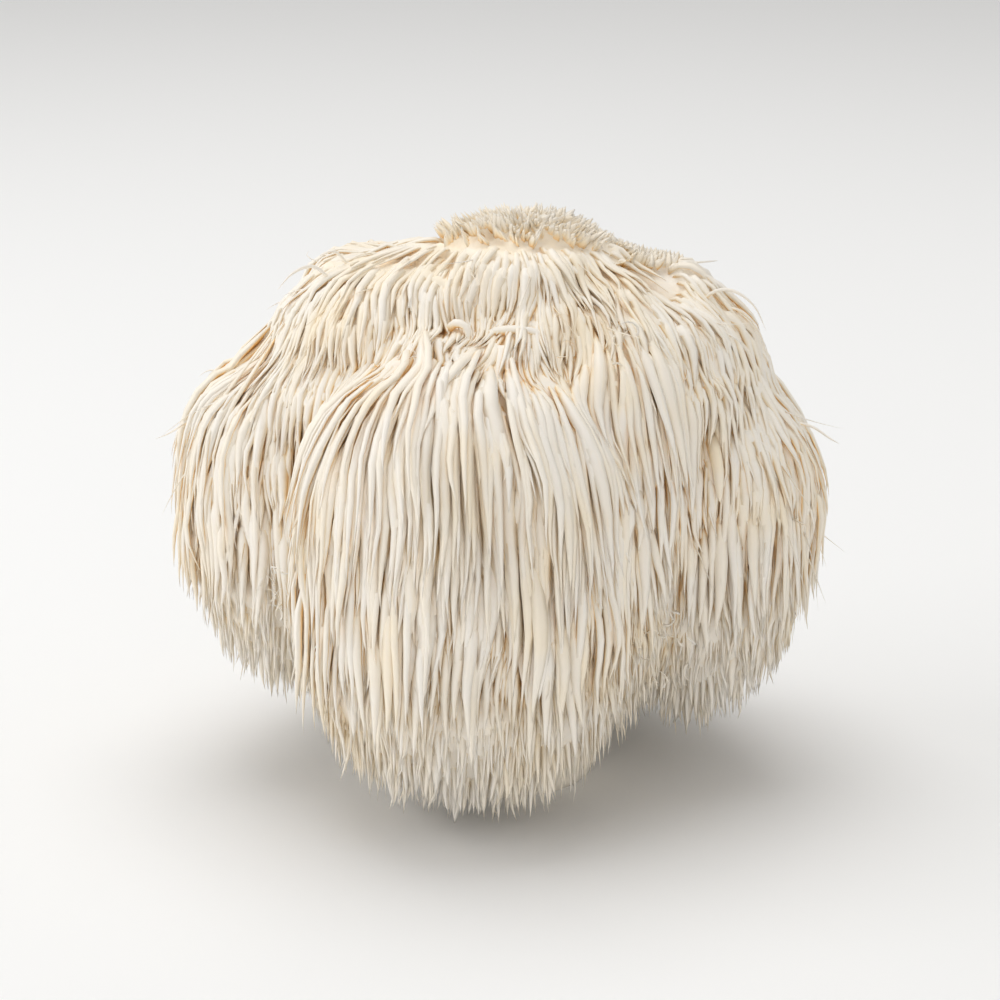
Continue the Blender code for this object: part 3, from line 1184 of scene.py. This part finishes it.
@dataclass
class Coat:
    """All the spines: those that drape from the flesh, and those packed below it."""

    flesh: Flesh
    chance: np.random.Generator
    skirt_spacing: float = 2.55 * MM
    skirt_radius: float = 1.5 * MM
    steps: int = 24
    ruffles: Ruffles = Ruffles()
    shortest: float = 6 * MM  # a spine that its skirt leaves shorter than this is dropped
    highest: float = 2.6 * MM  # and so is one that would stand up further in a loop
    skirt_tips: tuple[float, float] = (-1.5 * MM, 4.5 * MM)  # how far from the skirt's edge
    skirt_lengths: tuple[float, float] = (16 * MM, 40 * MM)
    widest: float = 1.5  # the most that a spine's width may pass its kind's
    lock: float = 6 * MM  # the least distance between the tips that lead locks

    @property
    def share(self) -> np.ndarray:
        """How far along its spine each point of a path is, shaped to go with paths."""
        return np.linspace(0, 1, self.steps + 1)[None, :, None]

    def draped(self) -> tuple[Strands, np.ndarray]:
        """The spines that leave the upper flesh and drape over it.

        Returns:
            The spines, and the lobe that each belongs to.
        """
        roots, owners = self.flesh.roots(self.chance)
        away = self.flesh.distance(roots)[1]
        facing = away[:, 2]
        grows = facing > self.flesh.grown("low", owners)
        for place in (*FLAKY, BARE):
            grows &= ~place.holds(roots)
        roots, owners, away, facing = (kept[grows] for kept in (roots, owners, away, facing))
        count = len(roots)
        crest = ease(facing, 0.5, 0.9) * self.flesh.skirted[owners]
        spread = self.flesh.grown("spread", owners) * self.chance.uniform(-1, 1, count)
        lengths = self.flesh.grown("length", owners) * (1 + spread) * (1 + 0.5 * crest)
        paths = self.flesh.trim(self.flesh.drape(roots, owners, lengths, self.chance), owners)
        paths = above_floor(paths)
        kept = np.linalg.norm(paths[:, -1] - paths[:, 0], axis=1) > self.shortest
        kept &= paths[..., 2].max(axis=1) - roots[:, 2] < self.highest
        widths = np.exp(self.chance.normal(0, 0.28, count)) * (0.95 - 0.12 * crest)
        widths = np.minimum(widths, self.widest)
        radii = self.flesh.grown("radius", owners) * widths
        tints = self.chance.uniform(0, 1, count)
        necks = 0.1 + self.flesh.crest(away, owners) * (0.8 - 0.4 * self.flesh.skirted[owners])
        return Strands(paths, radii, away, tints, necks).part(kept), owners[kept]

    def scattered(
        self,
        paths: np.ndarray,
        outward: np.ndarray,
        radii: tuple[float, float],
        tints: tuple[float, float] = (0.0, 1.0),
        neck: float = 1.0,
    ) -> Strands:
        """Spines on given paths, with radii and tints drawn at random.

        Args:
            paths: The points along each.
            outward: The way out of the flesh at each.
            radii: The least and the greatest radius.
            tints: The least and the greatest tint.
            neck: The share of its radius that each has at its root.

        Returns:
            The spines.
        """
        number = len(paths)
        drawn = self.chance.uniform(*radii, number)
        tinted = self.chance.uniform(*tints, number)
        return Strands(above_floor(paths), drawn, outward, tinted, np.full(number, neck))

    def petals(self, lobes: tuple[Lobe, ...], number: int) -> Strands:
        """Short flat flakes that stand up in ruffles on top of the flesh.

        Args:
            lobes: The lobes that they stand on.
            number: How many are tried.

        Returns:
            The flakes.
        """
        form = self.ruffles
        chosen = self.chance.integers(len(lobes), size=number)
        centres = np.array([lobe.centre for lobe in lobes])[chosen]
        aims = unit(self.chance.normal(size=(number, 3)))
        aims[:, 2] = np.abs(aims[:, 2])
        sizes = np.array([lobe.radii for lobe in lobes])[chosen]
        seeds, away = self.flesh.settled(centres + aims * sizes)
        grows = (FLAKY[0].holds(seeds) | FLAKY[1].holds(seeds)) & ~BARE.holds(seeds)
        seeds, away, centres = seeds[grows], away[grows], centres[grows]
        kept = thin_out(seeds, np.full(len(seeds), form.gap))
        seeds, away, centres = seeds[kept], away[kept], centres[kept]
        line = unit(np.cross(away, waver(seeds, 20 * MM, 5)))
        across = np.cross(away, line)
        lean = unit(away + 0.35 * unit((seeds - centres) * LEVEL) + 0.15 * across)
        tall = self.chance.uniform(*form.tall, len(seeds))
        tall = tall * (1 - 0.4 * FLAKY[1].holds(seeds))
        steps = np.arange(-form.reach, form.reach + 1)
        each = len(steps)
        bend = np.sin(steps * 0.8)[:, None]
        bend = bend * self.chance.normal(0, form.bend, (len(seeds), 1, 1))
        roots = seeds[:, None] + line[:, None] * (steps * form.pitch)[:, None]
        roots = self.flesh.settled((roots + across[:, None] * bend).reshape(-1, 3))[0]
        number = len(roots)
        fading = np.tile(1 - 0.1 * np.abs(steps), len(seeds))
        lengths = np.repeat(tall, each) * fading * self.chance.uniform(0.55, 1.1, number)
        heading = unit(np.repeat(lean, each, axis=0) + self.chance.normal(0, 0.16, (number, 3)))
        share = self.share
        reach = (lengths + form.depth)[:, None, None] * share - form.depth
        paths = roots[:, None] + heading[:, None] * reach
        paths = paths + DOWN * (lengths[:, None, None] * 0.2 * share**2)
        rooted = self.flesh.distance(paths[:, 0])[0] < -0.4 * MM
        away = np.repeat(across, each, axis=0)
        return self.scattered(paths, away, form.radii, (0.4, 1.3), 0.9).part(rooted)

    def wisps(self, strands: Strands, number: int) -> Strands:
        """Thin loose hairs that stand off other spines.

        Args:
            strands: The spines that they stand off.
            number: How many there are.

        Returns:
            The hairs.
        """
        chosen = self.chance.choice(len(strands.paths), number, replace=False)
        along = unit(strands.paths[chosen, 12] - strands.paths[chosen, 6])
        away = strands.outward[chosen]
        heading = unit(0.5 * away + along + self.chance.normal(0, 0.3, (number, 3)))
        bend = unit(self.chance.normal(size=(number, 3)) + 1.5 * DOWN)
        lengths = self.chance.uniform(4 * MM, 12 * MM, number)[:, None, None]
        share = self.share
        paths = strands.paths[chosen, 8][:, None] + heading[:, None] * lengths * share
        paths = paths + bend[:, None] * lengths * 0.9 * share**2
        return self.scattered(paths, away, (0.16 * MM, 0.34 * MM))

    def placed(self, curls: tuple[Curl, ...]) -> Strands:
        """The spines that each have a place of their own."""
        paths = np.array([curl.path(self.steps) for curl in curls])
        radii = np.array([curl.radius * MM for curl in curls])
        outward = np.tile((0.0, -1.0, 0.3), (len(curls), 1))
        tints = np.array([curl.tint for curl in curls])
        return Strands(paths, radii, outward, tints, np.full(len(curls), 0.8))

    def tendrils(self, places: tuple[Patch, ...], each: int) -> Strands:
        """Fine curls in the valleys of the flesh.

        Args:
            places: Where they grow.
            each: How many grow in each place.

        Returns:
            The curls.
        """
        number = each * len(places)
        size = np.repeat([place.radius for place in places], each)[:, None]
        middles = np.repeat([place.centre for place in places], each, axis=0)
        starts = middles + size * self.chance.normal(0, 0.5, (number, 3))
        heading = unit(self.chance.normal(size=(number, 3)) + (0, -0.6, 0.3))
        across = unit(np.cross(heading, self.chance.normal(size=(number, 3))))
        over = np.cross(heading, across)
        share = self.share
        turn = self.chance.uniform(1.5, 4.5, (number, 1, 1)) * share
        reach = self.chance.uniform(1.5 * MM, 3.5 * MM, (number, 1, 1)) * (0.4 + 0.6 * share)
        paths = starts[:, None] + heading[:, None] * share * 3 * MM
        paths = paths + reach * (np.cos(turn) * across[:, None] + np.sin(turn) * over[:, None])
        return self.scattered(paths, over, (0.2 * MM, 0.42 * MM))

    def skirted(self, owner: int) -> Strands:
        """The spines packed below the middle of one lobe, whose tips make its skirt.

        Args:
            owner: The lobe's number.

        Returns:
            The spines that no other lobe hides.
        """
        lobe = list(self.flesh.lobes.values())[owner]
        reach = np.array(lobe.radii[:2]) + self.flesh.skirt_margin
        outs = 1 - np.linspace(0, 1, 400) ** 2
        rims = lobe.centre[:2] + outs[:, None] * (reach[0], 0)
        heights = self.flesh.skirt(owner, rims)
        runs = np.hypot(np.diff(outs * reach.mean()), np.diff(heights))
        measured = np.concatenate([[0], np.cumsum(runs)])
        rows = np.arange(0, measured[-1], self.skirt_spacing * 0.87)  # rows interlock
        tips = []
        for out in np.interp(rows, measured, outs):
            around = 2 * math.pi * out * reach.mean()
            number = max(int(around / self.skirt_spacing), 1)
            turn = (np.arange(number) + self.chance.uniform()) * 2 * math.pi / number
            turn = turn + self.chance.normal(0, 0.3 * self.skirt_spacing / (around + 1e-6) * 6)
            ring = np.stack([np.cos(turn), np.sin(turn)], axis=1) * reach * out
            tips.append(ring + lobe.centre[:2])
        tips = np.concatenate(tips)
        tips = tips + self.chance.normal(0, 0.3 * self.skirt_spacing, tips.shape)
        heights = self.flesh.skirt(owner, tips)
        heights = heights + self.chance.uniform(*self.skirt_tips, len(tips))
        tips = np.concatenate([tips, heights[:, None]], axis=1)
        tips = tips[~self.flesh.buried(tips, owner)]
        lengths = self.chance.uniform(*self.skirt_lengths, len(tips))
        height = np.clip((tips[:, 2] + lengths - lobe.centre[2]) / lobe.radii[2], 0, 0.97)
        inside = (tips - lobe.centre)[:, :2] / np.array(lobe.radii[:2])
        out = np.linalg.norm(inside, axis=1)
        rooted = np.minimum(out, 0.93 * (1 - height**lobe.box) ** (1 / lobe.box) - 0.02)
        lean = (tips - lobe.centre) * LEVEL * (1 - rooted / (out + 1e-6))[:, None]
        out = unit((tips - lobe.centre) * LEVEL)
        share = self.share
        paths = tips[:, None] - DOWN * (lengths[:, None, None] * (1 - share))
        paths = paths - lean[:, None] * (1 - share) ** 2
        radii = self.skirt_radius * np.exp(self.chance.normal(0, 0.25, len(tips)))
        tints = self.chance.uniform(0, 1, len(tips))
        return Strands(above_floor(paths), radii, out, tints, np.full(len(tips), 0.3))

    def tousle(self, strands: Strands, clump: float, sway: float) -> Strands:
        """Draws the spines into locks and bends them a little.

        Args:
            strands: The spines.
            clump: How far tips move towards the tip that leads their lock.
            sway: The size of each spine's own bends.

        Returns:
            The same spines, tousled.
        """
        tips = strands.paths[:, -1]
        leaders = tips[thin_out(tips, np.full(len(tips), self.lock))]
        nearest = [((leaders - tip) ** 2).sum(axis=1).argmin() for tip in tips]
        share = self.share
        towards = (leaders[nearest] - tips) * LEVEL * clump
        shared = waver(strands.paths, 26 * MM, 1) * (1.6, 1.6, 0.6) * MM
        own = waver(strands.paths, 12 * MM, 2) * (0.15, 0.15, 0) * MM
        phase = self.chance.uniform(0, 2 * math.pi, (len(tips), 1, 2))
        turns = self.chance.uniform(0.5, 1.4, (len(tips), 1, 2)) * 2 * math.pi
        wave = np.sin(share * turns + phase) - np.sin(phase)
        size = self.chance.gamma(2.0, sway / 2, (len(tips), 1, 1))
        bends = np.concatenate([wave * size * share, np.zeros((*wave.shape[:2], 1))], axis=2)
        paths = strands.paths + towards[:, None] * share**2 + bends
        paths = paths + (shared + own) * ease(share, 0, 0.6)
        return replace(strands, paths=above_floor(paths))


@dataclass
class Mushroom:
    """The whole head: its flesh, its spines and the loose growth on them."""

    finish: bpy.types.Material
    flesh: Flesh
    coat: Coat
    voxel: float = 1.6 * MM
    fine_voxel: float = 0.84 * MM
    upper: float = 90 * MM  # spines that start above this are part of the finer flesh
    long: float = 34 * MM  # of these, longer ones grow together with it for a short part
    clump: tuple[float, float] = (0.3, 0.35)  # for draped spines and for skirts
    sway: float = 0.5 * MM
    flakes: int = 5000
    hairs: int = 180
    tendrils: int = 16

    def grow(self) -> None:
        """Grows the spines and the flakes, and finds how deep each place is."""
        draped, self.owners = self.coat.draped()
        self.draped = self.coat.tousle(draped, self.clump[0], self.sway)
        self.skirts = {
            name: self.coat.tousle(self.coat.skirted(owner), self.clump[1], self.sway)
            for owner, (name, lobe) in enumerate(self.flesh.lobes.items())
            if lobe.skirted
        }
        self.thicket = Thicket()
        for strands in (self.draped, *self.skirts.values()):
            self.thicket.add(strands)
        self.thicket.add_flesh(self.flesh)
        self.thicket.settle()
        topmost = (LOBES["crown"], LEDGES["cap"], LEDGES["saddle"], LEDGES["pad"])
        self.petals = self.coat.petals(topmost, self.flakes)

    def on(self, *coatings: Coating) -> Strands:
        """The draped spines of the lobes with these coatings."""
        chosen = [lobe.coating in coatings for lobe in self.flesh.lobes.values()]
        return self.draped.part(np.array(chosen)[self.owners])

    def piece(self, form: SpineForm, name: str, strands: Strands) -> None:
        """Makes one piece of many spines."""
        dress(form.build(name, strands, self.thicket), self.finish)

    def flesh_pieces(self) -> None:
        """Makes the flesh: a coarse body, and a finer upper part with the spines' roots."""
        core = FusedFlesh(
            self.flesh, self.voxel, inset=1.2 * MM, teeth=10 * MM, fullness=1 * MM
        )
        body = dress(core.build("flesh_body", [], self.thicket), self.finish)
        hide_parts(NODE)
        high = self.draped.part(self.draped.paths[:, 0, 2] > self.upper)
        lengths = np.linalg.norm(np.diff(high.paths, axis=1), axis=2).sum(axis=1)
        long_form = SpineForm(rings=4, full=0.1, part=0.1, girth=1.1, taper=3.0)
        short_form = SpineForm(rings=7, full=0.1, part=0.45, girth=1.1, taper=3.0)
        flake_form = SpineForm(sides=4, rings=3, flatness=0.5, part=0.5)
        roots = [
            long_form.mesh("long_roots", high.part(lengths > self.long))[0],
            short_form.mesh("short_roots", high.part(lengths <= self.long))[0],
            flake_form.mesh("flake_roots", self.petals)[0],
        ]
        skin = FusedFlesh(
            self.flesh,
            self.fine_voxel,
            inset=0.9 * MM,
            floor=self.upper,
            smoothing=3,
            thrift=0.1 * MM,
        )
        dress(skin.build("flesh_upper", roots, self.thicket), self.finish)

    def spine_pieces(self) -> None:
        """Makes the hanging spines, by kind and by lobe."""
        short = SpineForm(sides=4, rings=7)
        hanging = SpineForm(taper=2.4, full=0.5)
        self.piece(short, "spines_crown", self.on(UPPER, CROWN))
        self.piece(short, "spines_rims", self.on(RIM))
        self.piece(hanging, "spines_side", self.on(SIDE))
        self.piece(hanging, "spines_long", self.on(LONG))
        for name, strands in self.skirts.items():
            self.piece(SpineForm(sides=4, rings=6, taper=1.6), f"skirt_{name}", strands)

    def loose_pieces(self) -> None:
        """Makes the flakes, the hairs and the odd spines."""
        flake = SpineForm(sides=4, rings=4, flatness=0.4, taper=2.0)
        hair = SpineForm(sides=3, rings=7, flatness=1.0, taper=1.5)
        thick = SpineForm(sides=6, rings=16, flatness=0.9, taper=2.5)
        self.piece(flake, "petals", self.petals)
        shaggy = self.on(SIDE, UPPER, CROWN, RIM)
        self.piece(hair, "wisps", self.coat.wisps(shaggy, self.hairs))
        self.piece(hair, "tendrils", self.coat.tendrils(TENDRILS, self.tendrils))
        self.piece(thick, "curls", self.coat.placed(CURLS))

    def build(self) -> None:
        """Makes every piece, in the order that the seeded draws depend on."""
        self.grow()
        self.flesh_pieces()
        self.spine_pieces()
        self.loose_pieces()


# --------------------------------------------------------------------------------- studio


@dataclass(frozen=True)
class Lamp:
    """A square soft light: its place and size in metres and its power in watts."""

    name: str
    place: tuple[float, float, float]
    size: float
    power: float


LAMPS = (
    Lamp("key", (-1.5, -0.1, 0.5), 1.5, 11.5),
    Lamp("top", (-0.1, 0.3, 1.4), 1.2, 10.2),
    Lamp("side", (1.5, -0.2, 0.3), 1.2, 1.2),
    Lamp("low", (0.1, -1.3, 0.02), 0.9, 4.8),
)


@dataclass
class Studio:
    """The pale floor, the soft light and the camera."""

    elevation: float = 17.0
    distance: float = 0.80
    target: tuple[float, float, float] = (0.0, 0.0, 0.072)
    lens: float = 115.2
    floor_half: float = 4.0
    world: float = 0.5

    def floor(self) -> bpy.types.Object:
        """A wide pale floor at z = 0."""
        shape = bmesh.new()
        bmesh.ops.create_grid(shape, x_segments=1, y_segments=1, size=self.floor_half)
        mesh = bpy.data.meshes.new("floor")
        shape.to_mesh(mesh)
        shape.free()
        made = add_object("floor", mesh)
        graph = Graph("pale_floor")
        mesh.materials.append(
            graph.surface({"Base Color": (0.9, 0.9, 0.895, 1), "Roughness": 0.9})
        )
        return made

    def light(self, lamp: Lamp) -> None:
        """A lamp that faces the mushroom."""
        light = bpy.data.lights.new(lamp.name, "AREA")
        light.size = lamp.size
        light.energy = lamp.power
        made = bpy.data.objects.new(lamp.name, light)
        made.location = lamp.place
        aim = Vector(self.target) - Vector(lamp.place)
        made.rotation_euler = aim.to_track_quat("-Z", "Y").to_euler()
        bpy.context.scene.collection.objects.link(made)

    def camera(self) -> None:
        """The camera at the photograph's angle."""
        rise = math.radians(self.elevation)
        back = Vector((0, -math.cos(rise), math.sin(rise)))
        view = bpy.data.cameras.new("camera")
        view.lens = self.lens
        view.sensor_width = 36
        made = bpy.data.objects.new("camera", view)
        made.location = Vector(self.target) + back * self.distance
        made.rotation_euler = (-back).to_track_quat("-Z", "Y").to_euler()
        bpy.context.scene.collection.objects.link(made)
        bpy.context.scene.camera = made

    def sky(self) -> None:
        """Even white light from all round."""
        world = bpy.data.worlds.new("studio")
        world.use_nodes = True
        shade = world.node_tree.nodes["Background"].inputs
        shade["Color"].default_value = (1, 0.99, 0.975, 1)
        shade["Strength"].default_value = self.world
        bpy.context.scene.world = world

    def build(self) -> None:
        """Sets up the whole studio."""
        self.floor()
        self.sky()
        for lamp in LAMPS:
            self.light(lamp)
        self.camera()
        bpy.context.scene.view_settings.view_transform = "Standard"


def main() -> None:
    """Builds the mushroom and the studio around it."""
    logging.basicConfig(level=logging.INFO, format="%(message)s")
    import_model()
    Studio().build()
    chance = np.random.default_rng(SEED)
    flesh = Flesh({**LOBES, **LEDGES, **knobs(LOBES, chance)})
    Mushroom(FungusFinish("fungus").material(), flesh, Coat(flesh, chance)).build()


if __name__ == "__main__":
    main()
